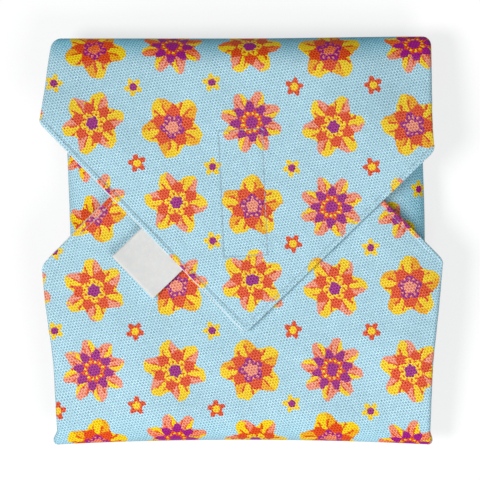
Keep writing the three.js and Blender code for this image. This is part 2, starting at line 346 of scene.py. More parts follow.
def relief(flap, a, d):
    # how the cloth departs from a flat face
    edge, place = hemDistance(flap, a, d)
    (leftShoulder, _), (rightShoulder, _) = flap["outline"][0][1], flap["outline"][2][1]
    out = np.where(a < 0, a / leftShoulder, a / rightShoulder)
    drooped = np.clip((out - drape["droopStart"]) / (1 - drape["droopStart"]), 0, drape["droopMost"])
    right = smooth(a, -drape["sideBlend"], drape["sideBlend"])
    sideDroop, hemDroop = (flap[key][0] * (1 - right) + flap[key][1] * right
                           for key in ("sideDroop", "hemDroop"))
    lift = -flap["crown"] * (a / halfWidth) ** 2
    lift = lift - sideDroop * drooped**2
    lift = lift - hemDroop * (1 - smooth(edge, 0, drape["hemReach"]))
    lift = lift + flap["waveHeight"] * waves(a, d, flap["seed"], *drape["longWaves"])
    lift = lift + drape["fineHeight"] * waves(a, d, flap["seed"] + 1, *drape["fineWaves"])
    band = np.clip(edge / hem["inset"], 0, 1)
    lift = lift + hem["puff"] * np.sin(math.pi * band) * (edge > 0)
    lift = lift - hem["groove"] * hump(edge - hem["inset"], hem["grooveWidth"])
    wander = hem["puckerWander"] * np.sin(place / hem["puckerDrift"])
    ripple = np.sin(2 * math.pi * place / hem["puckerLength"] + wander)
    lift = lift + hem["pucker"] * ripple * hump(edge - hem["inset"], hem["puckerWidth"])
    if flap is topFlap:
        gap = tapeDistance(hookTape, *placeOf(flap, a, d))
        lift = lift + hookTape["raise"] * (1 - smooth(gap, *hookTape["raiseEdge"]))
        lift = lift - hookTape["groove"] * hump(gap + hookTape["stitchInset"], hookTape["grooveWidth"])
    return lift


# The filled bag: full in the middle, lower towards its ends and lowest at the four corners
pillow = {
    "reach": 48.0,
    "middleShare": 0.12,
    "cornerShare": 0.8,
    "cornerStart": 26.0,
    "topLeftStart": 8.0,
    "cornerFull": 66.0,
    "leastSide": 0.08,
    "leastEnd": 0.3,
}
bareFold = {  # where a side fold shows between the top and lower corners
    "crispMiddle": 22,
    "crispSpread": 22,
    "slackMiddle": 27,
    "slackSpread": 25,
    "slackStart": 20,  # in from the fold's edge
    "slackFull": 1,
}
backShape = {  # a soft-cornered tray, whose wall the four corners' cloth carries on round the folds
    "corner": 9.0,
    "cornerEnd": 2.5,
    "cornerShrink": 0.5,
    "endSpread": 3.2,  # how far the end corners' cloth opens out past the tray
    "sideSpread": 1.0,
    "wallRows": 16,
    "flatRows": 24,
    "offsetShare": 0.3,  # how much of a ring's offset comes off its corner
    "cornerMost": 0.6,  # share of the half width
    "sideShiftStart": 30,
    "endShiftStart": 40,
    "sideSteps": 56,
    "cornerSteps": 10,
    "sink": 0.55,  # the wall's rim lies this far in behind the corners' cloth
    "clothRim": 10.9,
    "linerRim": 12.1,
    "linerSinkStart": 4.5,
    "middle": 6.0,  # half the width of the innermost ring
    "puff": 0.16,
    "puffEdge": (8, 30),
    "puffLevel": 1.2,
    "puffWaves": 0.6,
    "seed": 57,
    "waves": (22, 70),
    "flatShare": 0.94,  # of the flat rectangle, as its corners are round
}


def roundFold(d):
    return np.sqrt(1 - np.clip((foldRadius - d) / foldRadius, 0, 1) ** 2)


def fullness(x, y, endLift):
    fromEnd = np.maximum(halfLength - np.abs(y), 0)
    start = np.where((x < 0) & (y > 0), pillow["topLeftStart"], pillow["cornerStart"])
    corner = smooth(np.abs(x), start, pillow["cornerFull"])
    share = pillow["middleShare"] + (pillow["cornerShare"] - pillow["middleShare"]) * corner
    slow = np.sin(math.pi / 2 * np.clip(fromEnd / pillow["reach"], 0, 1))
    return (1 - share) * endLift + share * slow


def heightShare(flap, x, y, lift):
    if flap["along"][0]:
        return fullness(x, y, lift)
    # the side corners lie a steady depth under the lower corner
    endLift = roundFold(np.maximum(halfLength - np.abs(y), pillow["leastEnd"]))
    lowerRise, sideRise = (one["face"] - foldHeight for one in (lowerFlap, flap))
    share = 1 - lowerRise * (1 - fullness(x, y, endLift)) / sideRise
    tighter = 1 + flap["crisp"] * hump(y - bareFold["crispMiddle"], bareFold["crispSpread"])
    lift = np.where(lift > 0, roundFold((halfWidth - np.abs(x)) * tighter), 0)
    return lift * np.maximum(share, pillow["leastSide"])


def slackAt(flap, x, y):
    near = smooth(np.abs(x), halfWidth - bareFold["slackStart"], halfWidth - bareFold["slackFull"])
    return 1 - flap.get("slack", 0.0) * hump(y - bareFold["slackMiddle"], bareFold["slackSpread"]) * near


def foldShiftAt(flap, a, d):
    return flap["foldShift"](a) * (1 - smooth(d, 0, drape["shiftReach"]))


def trayCorner(inward):
    return np.maximum(backShape["corner"] - backShape["cornerShrink"] * inward, backShape["cornerEnd"])


def roundCorner(flap, a, d, lift):
    # under the fold the cloth's ends bend round the back's corners
    atEnd = flap["along"][0]
    half, spread = (halfWidth, backShape["endSpread"]) if atEnd else (halfLength, backShape["sideSpread"])
    radius = trayCorner(d)
    start = half + spread * (1 + lift) - d - radius
    angle = np.clip((np.abs(a) - start) / radius, 0, math.pi / 2)
    bent = np.where(angle > 0, np.sign(a) * (start + radius * np.sin(angle)), a)
    share = smooth(-lift * foldHeight, 0, foldHeight - plies["seamHeight"])
    return a + (bent - a) * share, d + radius * (1 - np.cos(angle)) * share


def clothAt(flap, a, d, lift=None):
    # points on the cloth's outer face; lift is below zero on the back's wall, under the fold
    a, d = np.broadcast_arrays(np.asarray(a, float), np.asarray(d, float))
    if lift is None:
        lift = roundFold(d)
    rise = flap["face"] - foldHeight
    share = heightShare(flap, *placeOf(flap, a, d), np.maximum(lift, 0))
    above = foldHeight + rise * share + relief(flap, a, d) * smooth(d, *drape["growIn"])
    z = np.where(lift >= 0, above, foldHeight * (1 + lift))
    z = z * slackAt(flap, *placeOf(flap, a, d))
    shift = foldShiftAt(flap, a, d) * np.where(lift >= 0, 1, 1 + lift)
    a, d = roundCorner(flap, a, d, lift)
    x, y = placeOf(flap, a, d + shift)
    return np.stack([x, y, z], axis=-1)


def unitRows(vectors):
    return vectors / np.maximum(np.linalg.norm(vectors, axis=-1, keepdims=True), 1e-9)


def turnOf(flap):
    (ax, ay), (ix, iy) = flap["along"], flap["inward"]
    return math.copysign(1, ax * iy - ay * ix)


def normalsOf(points, turn):
    return unitRows(np.cross(np.gradient(points, axis=1), np.gradient(points, axis=0))) * turn


# Mesh rows: close together by the edges, and closest at the tip
edgeInsets = [0, 0.25, 0.55, 0.9, 1.3, 1.7, 2.0, 2.2, 2.4, 2.7, 3.2, 4, 5.2, 7]
tipInsets = [6, 5.4, 4.8, 4.2, 3.6, 3, 2.4, 1.9, 1.5, 1.2, 0.9, 0.65, 0.45, 0.3, 0.17, 0.08, 0]
meshRows = {"wall": 8, "fold": 19, "leastMiddle": 6.0}


def pathRows(flap):
    # rows from the back's wall, round the fold and along the flat: in from the fold, lift, and cloth length
    wallAngle = math.asin(1 - (plies["seamHeight"] - plies["seamLap"]) / foldHeight)
    angles = np.linspace(wallAngle, 0, meshRows["wall"])[:-1]
    wallD, wallLift, wallLength = foldRadius * (1 - np.cos(angles)), -np.sin(angles), -foldRadius * angles
    turns = np.linspace(0, math.pi / 2, meshRows["fold"])
    arcD, arcLift = foldRadius * (1 - np.cos(turns)), np.sin(turns)
    rise = flap["face"] - foldHeight
    steps = np.hypot(np.diff(arcD), rise * np.diff(arcLift))
    arcLength = np.concatenate([[0], np.cumsum(steps)])
    if "tipRound" in flap:
        end = flap["end"] - flap["tipRound"] * (math.sqrt(2) - 1) - drape["tipLeast"]
        close = end - np.array(tipInsets)
    else:
        close = flap["end"] - np.array(edgeInsets[::-1])
    count = int((close[0] - foldRadius) / plies["clothStep"])
    flatD = np.concatenate([np.linspace(foldRadius, close[0], count)[1:], close[1:]])
    d = np.concatenate([wallD, arcD, flatD])
    lift = np.concatenate([wallLift, arcLift, np.ones(len(flatD))])
    length = np.concatenate([wallLength, arcLength, arcLength[-1] + flatD - foldRadius])
    return d, lift, length


def acrossRow(left, right, step):
    width = right - left
    share = np.minimum(1, width / (2 * edgeInsets[-1] + meshRows["leastMiddle"]))[:, None]
    near = np.array(edgeInsets) * share
    middle = np.linspace(0, 1, int((width.max() - 2 * edgeInsets[-1]) / step))[1:-1]
    innerLeft, innerRight = left[:, None] + near[:, -1:], right[:, None] - near[:, -1:]
    inner = innerLeft + (innerRight - innerLeft) * middle
    return np.concatenate([left[:, None] + near, inner, right[:, None] - near[:, ::-1]], axis=1)


def flatPlace(flap, a, length):
    # where a point of the corner lies on the cloth before folding
    (ox, oy), (ax, ay), (ix, iy) = flap["origin"], flap["along"], flap["inward"]
    x = ox - ix * (quarterGain + length) + ax * a
    y = oy - iy * (quarterGain + length) + ay * a
    return np.stack([x, y], axis=-1)


curl = {  # rolled edges: wide beside a tuck, tight along a hem
    "fold": 1.7,
    "hem": 0.42,
    "foldTurn": math.radians(118),
    "hemTurn": math.radians(95),
    "changeStart": 16.0,  # before a shoulder
    "changeEnd": 0.5,  # past it
    "wallEnd": 2.5,
    "mostShare": 0.3,  # of a row's width
    "endShare": 0.5,
    "steps": 5,
}
wallSink = {"seam": 0.5, "ends": 0.45, "endSpan": (66, 74)}  # how far cloth lies in behind the back's wall
linerEdge = {"inset": 1.1, "hemStart": 2.0, "hemFull": 4.0}
tuckShape = {"start": 3.4, "end": 2.5, "inset": 0.55, "rowStep": 1.1, "columns": 44}


def curlColumn(points, normals, flat, radius, turn):
    # rolls the last column's edge under
    edge = points[:, -1]
    out = unitRows(np.cross(np.gradient(edge, axis=0), normals[:, -1]))
    out = out * np.sign(np.sum(out * (edge - points[:, -2]), axis=1))[:, None]
    flatOut = unitRows(flat[:, -1] - flat[:, -2])
    radius, turn = np.broadcast_to(radius, len(edge)), np.broadcast_to(turn, len(edge))
    extra, extraFlat = [], []
    for step in range(1, curl["steps"] + 1):
        angle = turn * step / curl["steps"]
        side, down = (radius * np.sin(angle))[:, None], (radius * (1 - np.cos(angle)))[:, None]
        extra.append(edge + out * side - normals[:, -1] * down)
        extraFlat.append(flat[:, -1] + flatOut * (radius * angle)[:, None])
    points = np.concatenate([points, np.stack(extra, axis=1)], axis=1)
    flat = np.concatenate([flat, np.stack(extraFlat, axis=1)], axis=1)
    return points, flat


def flapCloth(flap):
    # the printed cloth of one corner, with its edges rolled under
    d, lift, length = pathRows(flap)
    left, right = edgesAt(flap, d)
    onWall = smooth(-lift * foldHeight, 0, curl["wallEnd"])
    folded = [(1 - smooth(d, shoulder - curl["changeStart"], shoulder + curl["changeEnd"])) * (1 - onWall)
              for shoulder in flap["shoulders"]]
    radii = [curl["hem"] + (curl["fold"] - curl["hem"]) * share for share in folded]
    turns = [curl["hemTurn"] + (curl["foldTurn"] - curl["hemTurn"]) * share for share in folded]
    radii = [np.minimum(radius, (right - left) * curl["mostShare"]) for radius in radii]
    a = acrossRow(left + radii[0], right - radii[1], plies["clothStep"])
    points = clothAt(flap, a, d[:, None], np.broadcast_to(lift[:, None], a.shape))
    aboveLap = smooth(points[..., 2], plies["seamHeight"] - plies["seamLap"], plies["seamHeight"])
    sink = wallSink["seam"] * (1 - aboveLap)
    if not flap["along"][0]:
        atEnds = smooth(np.abs(a), *wallSink["endSpan"]) * onWall[:, None]
        sink = np.maximum(sink, wallSink["ends"] * atEnds)
    normals = normalsOf(points, turnOf(flap))
    points = points - normals * sink[..., None]
    flat = flatPlace(flap, a, np.broadcast_to(length[:, None], a.shape))
    if "tipRound" not in flap:
        sideways = [np.swapaxes(grid, 0, 1) for grid in (points, normals, flat)]
        points, flat = curlColumn(*sideways, curl["hem"], curl["hemTurn"])
        points, flat = np.swapaxes(points, 0, 1), np.swapaxes(flat, 0, 1)
        added = len(points) - len(d)
        radii = [np.append(radius, [radius[-1] * curl["endShare"]] * added) for radius in radii]
        turns = [np.append(turn, [turn[-1]] * added) for turn in turns]
        normals = normalsOf(points, turnOf(flap))
    right, rightFlat = curlColumn(points, normals, flat, radii[1], turns[1])
    flipped = [grid[:, ::-1] for grid in (points, normals, flat)]
    left, leftFlat = curlColumn(*flipped, radii[0], turns[0])
    points = np.concatenate([left[:, ::-1], right[:, -curl["steps"]:]], axis=1)
    flat = np.concatenate([leftFlat[:, ::-1], rightFlat[:, -curl["steps"]:]], axis=1)
    return points, flat


def flapLiner(flap):
    # the white film inside a corner, showing as a thin line past the hem
    d, lift, length = pathRows(flap)
    left, right = edgesAt(flap, d)
    insets = []
    for shoulder, peek in zip(flap["shoulders"], flap["linerPeek"]):
        hemmed = smooth(d, shoulder - linerEdge["hemStart"], shoulder + linerEdge["hemFull"])
        inset = linerEdge["inset"] * (1 - hemmed) - peek * hemmed
        insets.append(np.minimum(inset, (right - left) * curl["mostShare"]))
    a = acrossRow(left + insets[0], right - insets[1], plies["linerStep"])
    points = clothAt(flap, a, d[:, None], np.broadcast_to(lift[:, None], a.shape))
    points = points - normalsOf(points, turnOf(flap)) * plies["linerBelow"]
    return points, flatPlace(flap, a, np.broadcast_to(length[:, None], a.shape))


def tuckCloth(flap, side):
    # the part of a side corner folded in behind a slanted side edge
    left, _, right = flap["outline"]
    (foldA, _), (shoulderA, drop) = left if side < 0 else right
    d = np.linspace(tuckShape["start"], drop - tuckShape["end"], int(drop / tuckShape["rowStep"]))
    outer = edgesAt(flap, d)[0 if side < 0 else 1] - side * tuckShape["inset"]
    inner = shoulderA + (foldA - side * drop - shoulderA) * (1 - d / drop)
    share = np.linspace(0, 1, tuckShape["columns"])
    a = outer[:, None] + (inner - outer)[:, None] * share
    points = clothAt(flap, a, d[:, None])
    points = points - normalsOf(points, turnOf(flap) * -side) * plies["tuckBelow"]
    flat = flatPlace(flap, 2 * foldA - a, np.broadcast_to(d[:, None], a.shape))
    return points, flat


# Meshes
def linked(name, data):
    made = bpy.data.objects.new(name, data)
    scene.collection.objects.link(made)
    return made


def meshPiece(name, points, faces, flat, material):
    mesh = bpy.data.meshes.new(name)
    mesh.from_pydata((points * mm).tolist(), [], faces)
    if flat is not None:
        corner = np.zeros(len(mesh.loops), np.int32)
        mesh.loops.foreach_get("vertex_index", corner)
        mesh.uv_layers.new(name="flatCut").data.foreach_set("uv", flat[corner].astype(np.float32).ravel())
    mesh.materials.append(material)
    mesh.shade_smooth()
    return linked(name, mesh)


def gridFaces(rows, columns, turn):
    first = (np.arange(rows - 1)[:, None] * columns + np.arange(columns - 1)).ravel()
    corners = [first, first + 1, first + columns + 1, first + columns]
    if turn < 0:
        corners = corners[::-1]
    return np.stack(corners, axis=1).tolist()


def thicken(piece, thickness):
    wall = piece.modifiers.new("thickness", "SOLIDIFY")
    wall.thickness = thickness * mm
    wall.offset = -1
    wall.use_even_offset = False
    return piece


def gridPiece(name, points, flat, turn, thickness, material):
    rows, columns = points.shape[:2]
    faces = gridFaces(rows, columns, turn)
    piece = meshPiece(name, points.reshape(-1, 3), faces, flat.reshape(-1, 2), material)
    return thicken(piece, thickness)


# Node helpers
def colourOf(red, green, blue):
    def linear(value):
        share = value / 255
        return share / 12.92 if share <= 0.04045 else ((share + 0.055) / 1.055) ** 2.4
    return (linear(red), linear(green), linear(blue), 1)


def feed(tree, socket, value):
    if isinstance(value, bpy.types.NodeSocket):
        tree.links.new(value, socket)
    else:
        socket.default_value = value


def addNode(tree, kind, inputs=None, **settings):
    made = tree.nodes.new(kind)
    for key, value in settings.items():
        setattr(made, key, value)
    for key, value in (inputs or {}).items():
        feed(tree, made.inputs[key], value)
    return made


def maths(tree, operation, *values):
    return addNode(tree, "ShaderNodeMath", dict(enumerate(values)), operation=operation).outputs[0]


def plus(tree, first, second):
    return maths(tree, "ADD", first, second)


def minus(tree, first, second):
    return maths(tree, "SUBTRACT", first, second)


def times(tree, first, second):
    return maths(tree, "MULTIPLY", first, second)


def mixColour(tree, share, low, high, blend="MIX"):
    inputs = {0: share, 6: low, 7: high}
    made = addNode(tree, "ShaderNodeMix", inputs, data_type="RGBA", blend_type=blend, clamp_factor=True)
    return made.outputs[2]


def ramp(tree, value, low, high, toLow, toHigh):
    inputs = dict(enumerate((value, low, high, toLow, toHigh)))
    return addNode(tree, "ShaderNodeMapRange", inputs).outputs[0]


def combine(tree, x, y, z=0.0):
    return addNode(tree, "ShaderNodeCombineXYZ", {"X": x, "Y": y, "Z": z}).outputs[0]


def separate(tree, place):
    return addNode(tree, "ShaderNodeSeparateXYZ", {"Vector": place}).outputs


def rotated(tree, place, angle, centre=(0, 0, 0)):
    inputs = {"Vector": place, "Center": centre, "Angle": angle}
    return addNode(tree, "ShaderNodeVectorRotate", inputs, rotation_type="Z_AXIS").outputs[0]


def noise(tree, place, scale, detail=2.0, roughness=0.5, output="Fac"):
    inputs = {"Vector": place, "Scale": scale, "Detail": detail, "Roughness": roughness}
    return addNode(tree, "ShaderNodeTexNoise", inputs).outputs[output]


def newGroup(kind, name, inputs, outputs):
    tree = bpy.data.node_groups.new(name, kind)
    for title, valueKind, *value in inputs:
        socket = tree.interface.new_socket(title, in_out="INPUT", socket_type="NodeSocket" + valueKind)
        if value:
            socket.default_value = value[0]
    for title, valueKind in outputs:
        tree.interface.new_socket(title, in_out="OUTPUT", socket_type="NodeSocket" + valueKind)
    enter = tree.nodes.new("NodeGroupInput")
    leave = tree.nodes.new("NodeGroupOutput")
    return tree, enter.outputs, leave.inputs


# Plain weave with its threads along the hems, as a height and a shade, in flat-cut millimetres
clothWeave = {"Warp": 0.634, "Weft": 0.986, "Turn": math.radians(-47.8), "Slub": 1.0}
weaveShade = {
    "driftScale": 0.09,  # slow wander of the threads
    "yarnRound": 0.55,
    "underHeight": 0.62,  # of threads that pass under
    "warpRidge": 0.4,
    "weftRidge": -0.6,
    "nubs": 0.8,
    "patchScale": 0.4,  # patches where the weave shows faintly or strongly
    "faint": 0.6,
    "strong": 1.5,
    "darkest": -1.9,
    "lightest": 1.6,
}


def plainWeaveGroup():
    inputs = [("Flat", "Vector"), *((title, "Float", value) for title, value in clothWeave.items())]
    outputs = [(title, "Float") for title in ("Height", "Shade", "Over")]
    tree, enter, leave = newGroup("ShaderNodeTree", "plainWeave", inputs, outputs)
    place = separate(tree, rotated(tree, enter["Flat"], enter["Turn"]))
    drift = separate(tree, noise(tree, enter["Flat"], weaveShade["driftScale"], 4.0, 0.7, "Color"))
    cells = []
    for axis, pitch in (("X", "Warp"), ("Y", "Weft")):
        wander = times(tree, minus(tree, drift[axis], 0.5), enter["Slub"])
        cells.append(plus(tree, maths(tree, "DIVIDE", place[axis], enter[pitch]), wander))
    over = times(tree, *(maths(tree, "COSINE", times(tree, cell, math.pi)) for cell in cells))
    top = maths(tree, "ABSOLUTE", over)
    yarn = maths(tree, "POWER", top, weaveShade["yarnRound"])
    passing = ramp(tree, over, -0.2, 0.2, weaveShade["underHeight"], 1.0)
    feed(tree, leave["Height"], times(tree, yarn, passing))
    crossing = combine(tree, *(maths(tree, "ROUND", cell) for cell in cells))
    draw = addNode(tree, "ShaderNodeTexWhiteNoise", {"Vector": crossing}).outputs["Value"]
    nub = times(tree, minus(tree, draw, 0.5), weaveShade["nubs"])
    shade = plus(tree, over, times(tree, nub, top))
    for cell, strength in zip(cells, (weaveShade["warpRidge"], weaveShade["weftRidge"])):
        ridge = maths(tree, "COSINE", times(tree, cell, 2 * math.pi))
        shade = plus(tree, shade, times(tree, ridge, strength))
    patch = noise(tree, enter["Flat"], weaveShade["patchScale"])
    shade = times(tree, shade, ramp(tree, patch, 0.3, 0.7, weaveShade["faint"], weaveShade["strong"]))
    feed(tree, leave["Shade"], ramp(tree, shade, weaveShade["darkest"], weaveShade["lightest"], 0.0, 1.0))
    feed(tree, leave["Over"], over)
    return tree


# Rosettes in rows on a plain ground, with small sprigs between: flat colours whose edges follow the weave
rosettePrint = {
    "pitch": 31.5,
    "jitter": 0.1,
    "drawn": 3.7,  # picks the run of random numbers
    "rosetteShift": 0.37,
    "sprigShift": 0.87,
    "petalReach": 12.6,
    "innerReach": 8.3,
    "ringReach": 5.0,
    "eyeReach": 2.6,
    "sprigReach": 3.7,
    "sprigEye": 1.5,
    "notchRound": 2.6,
    "wobble": 2.4,  # how far the petals' edges stray
    "shadedFrom": 0.45,
    "rayFrom": 0.72,
    "rayReach": 9.8,
    "speckCount": 12.0,
    "speckFrom": 0.2,
    "speckRing": 3.5,
    "speckBand": 0.5,
    "stepped": 0.22,  # how far the weave shifts the print's edges
    "ground": colourOf(176, 214, 228),
    "yellow": colourOf(242, 206, 34),
    "gold": colourOf(236, 168, 30),
    "orange": colourOf(222, 77, 40),
    "salmon": colourOf(236, 148, 120),
    "purple": colourOf(158, 39, 129),
}


def lobes(tree, angle, petals, notch, turn=0.0):
    # share of full reach at an angle, for so many round petals
    half = plus(tree, times(tree, angle, times(tree, petals, 0.5)), turn)
    dip = maths(tree, "POWER", maths(tree, "ABSOLUTE", maths(tree, "SINE", half)), rosettePrint["notchRound"])
    return minus(tree, 1.0, times(tree, dip, notch))


def cellPlace(tree, flat, shift):
    # the lattice cell that a point is in, its radius and angle from the cell's middle, and random numbers
    pitch = rosettePrint["pitch"]
    scaledPlace = [plus(tree, maths(tree, "DIVIDE", part, pitch), shift) for part in flat]
    cell = [maths(tree, "FLOOR", place) for place in scaledPlace]
    draw = addNode(tree, "ShaderNodeTexWhiteNoise", {"Vector": combine(tree, *cell, rosettePrint["drawn"])})
    random = separate(tree, draw.outputs["Color"])
    local = []
    for axis, place, corner in zip("XY", scaledPlace, cell):
        middle = minus(tree, minus(tree, place, corner), 0.5)
        shake = times(tree, minus(tree, random[axis], 0.5), rosettePrint["jitter"])
        local.append(times(tree, plus(tree, middle, shake), pitch))
    radius = maths(tree, "SQRT", plus(tree, *(times(tree, part, part) for part in local)))
    spin = times(tree, random["Z"], 6.3)
    angle = plus(tree, maths(tree, "ARCTAN2", local[1], local[0]), spin)
    return cell, radius, angle, random


def rosetteGroup():
    inputs = [("Flat", "Vector"), ("Over", "Float", 0.0)]
    tree, enter, leave = newGroup("ShaderNodeTree", "rosettePrint", inputs, [("Colour", "Color")])
    raw = separate(tree, enter["Flat"])
    step = times(tree, enter["Over"], rosettePrint["stepped"])
    flat = [plus(tree, raw[axis], step) for axis in "XY"]
    wobble = minus(tree, noise(tree, combine(tree, *flat), 0.3), 0.5)

    # three kinds of rosette, of 6, 5 and 8 petals, take turns along the rows
    cell, radius, angle, _ = cellPlace(tree, flat, rosettePrint["rosetteShift"])
    kind = maths(tree, "FLOORED_MODULO", plus(tree, cell[0], times(tree, cell[1], 2.0)), 3.0)
    second = maths(tree, "COMPARE", kind, 1.0, 0.4)
    third = maths(tree, "COMPARE", kind, 2.0, 0.4)
    petals = plus(tree, minus(tree, 6.0, second), times(tree, third, 2.0))
    rough = plus(tree, radius, times(tree, wobble, rosettePrint["wobble"]))

    def within(reach, notch, turn=0.0):
        edge = times(tree, lobes(tree, angle, petals, notch, turn), rosettePrint[reach])
        return maths(tree, "LESS_THAN", rough, edge)

    def above(value, least):
        return maths(tree, "GREATER_THAN", value, rosettePrint[least])

    def byKind(one, two, three):
        pick = mixColour(tree, second, rosettePrint[one], rosettePrint[two])
        return mixColour(tree, third, pick, rosettePrint[three])

    petal = within("petalReach", 0.3)
    swing = maths(tree, "SINE", times(tree, angle, petals))
    shaded = times(tree, petal, above(plus(tree, swing, times(tree, wobble, 3.0)), "shadedFrom"))
    rayAngle = plus(tree, times(tree, angle, times(tree, petals, 3.0)), times(tree, wobble, 5.0))
    rayEnd = plus(tree, rosettePrint["rayReach"], times(tree, wobble, 6.0))
    inRay = maths(tree, "LESS_THAN", rough, rayEnd)
    ray = times(tree, above(maths(tree, "SINE", rayAngle), "rayFrom"), inRay)
    grain = maths(tree, "SINE", times(tree, angle, rosettePrint["speckCount"]))
    ring = maths(tree, "COMPARE", rough, rosettePrint["speckRing"], rosettePrint["speckBand"])
    speck = times(tree, above(grain, "speckFrom"), ring)

    colour = mixColour(tree, petal, rosettePrint["ground"], byKind("yellow", "yellow", "salmon"))
    for mask, colours in (
        (shaded, ("salmon", "gold", "yellow")),
        (times(tree, petal, ray), ("orange", "orange", "orange")),
        (within("innerReach", 0.34, math.pi / 2), ("orange", "orange", "purple")),
        (within("ringReach", 0.22), ("yellow", "purple", "orange")),
        (speck, ("orange", "salmon", "yellow")),
        (within("eyeReach", 0.15), ("purple", "salmon", "purple")),
    ):
        colour = mixColour(tree, mask, colour, byKind(*colours))

    _, sprigRadius, sprigAngle, sprigRandom = cellPlace(tree, flat, rosettePrint["sprigShift"])
    sprigEdge = times(tree, lobes(tree, sprigAngle, 5.0, 0.42), rosettePrint["sprigReach"])
    warm = maths(tree, "GREATER_THAN", sprigRandom["X"], 0.5)
    sprigEye = rosettePrint["sprigEye"]
    for edge, one, two in ((sprigEdge, "orange", "yellow"), (sprigEye, "yellow", "purple")):
        pick = mixColour(tree, warm, rosettePrint[one], rosettePrint[two])
        colour = mixColour(tree, maths(tree, "LESS_THAN", sprigRadius, edge), colour, pick)
    feed(tree, leave["Colour"], colour)
    return tree


weaveGroup = plainWeaveGroup()
printGroup = rosetteGroup()


# Materials
def newMaterial(name):
    material = bpy.data.materials.new(name)
    material.use_nodes = True
    tree = material.node_tree
    return material, tree, tree.nodes["Principled BSDF"].inputs


def placeGroup(tree, group, **inputs):
    made = tree.nodes.new("ShaderNodeGroup")
    made.node_tree = group
    for key, value in inputs.items():
        feed(tree, made.inputs[key], value)
    return made.outputs


def flatCut(tree):
    return addNode(tree, "ShaderNodeUVMap", uv_map="flatCut").outputs[0]


def objectPlace(tree):
    return addNode(tree, "ShaderNodeTexCoord").outputs["Object"]


def toned(tree, colour, tone):
    return mixColour(tree, 1.0, colour, combine(tree, tone, tone, tone), "MULTIPLY")


def bumpFrom(tree, height, distance, strength=1.0, under=None):
    inputs = {"Height": height, "Distance": distance * mm, "Strength": strength}
    if under is not None:
        inputs["Normal"] = under
    return addNode(tree, "ShaderNodeBump", inputs).outputs[0]


def tapeCreaseShade(tree, flat):
    # a mask for painted shade in the crease: one along the tape's stitched rectangle, falling to zero beside
    # it
    a, d = hookTape["centre"][0], halfLength - hookTape["centre"][1]
    rowD, _, rowLength = pathRows(topFlap)
    flatX, flatY = flatPlace(topFlap, a, np.interp(d, rowD, rowLength))
    place = separate(tree, rotated(tree, flat, hookTape["tilt"], (flatX, flatY, 0)))
    outside = []
    for axis, middle, size in (("X", flatX, hookTape["width"]), ("Y", flatY, hookTape["length"])):
        away = maths(tree, "ABSOLUTE", minus(tree, place[axis], middle))
        outside.append(minus(tree, away, size / 2 - hookTape["stitchInset"]))
    distance = maths(tree, "ABSOLUTE", maths(tree, "MAXIMUM", *outside))
    return ramp(tree, distance, 0.1, hookTape["crease"], 1.0, 0.0)


# Painted shade along the folds, as richer and slightly darker colour, with a strength for each fold that
# follows how the light falls
foldShadePaint = {
    "near": 4.0,  # full strength this near a fold line
    "reach": 17.0,  # none left this far from it
    "ends": 4.0,  # fades out over this length past the end of a fold
    "richer": 1.65,
    "darker": 0.97,
    "shares": (("Y", 1, 1.0), ("X", 1, 0.6), ("Y", -1, 0.25), ("X", -1, 0.1)),  # top, right, lower, left
}


def paintedFoldShade(tree, flat):
    # painted shade: the colour is made more saturated and a little darker near the folds, strongest at the
    # top fold, then the right, lower and left ones
    place = separate(tree, flat)
    halves = {"X": halfWidth, "Y": halfLength}
    strongest = 0.0
    for axis, side, share in foldShadePaint["shares"]:
        away = maths(tree, "ABSOLUTE", minus(tree, place[axis], side * (halves[axis] + quarterGain)))
        near = ramp(tree, away, foldShadePaint["near"], foldShadePaint["reach"], share, 0.0)
        other = "Y" if axis == "X" else "X"
        end = halves[other] + quarterGain / 2
        along = ramp(tree, maths(tree, "ABSOLUTE", place[other]), end, end + foldShadePaint["ends"], 1.0, 0.0)
        strongest = maths(tree, "MAXIMUM", strongest, times(tree, near, along))
    return strongest


# Cloth surface: painted shade and highlight of the weave, random fading, roughness and bump
clothLookAndWeaveShade = {
    "gapShadeGamma": 1.65,  # painted shade between the threads
    "topHighlightGamma": 0.74,  # painted highlight on top of them
    # how far the painted weave shade darkens and lightens the colour
    "tone": (0.67, 1.52),
    "fade": (0.96, 1.03),
    "roughness": (0.82, 0.62),
    "bump": 0.14,
}


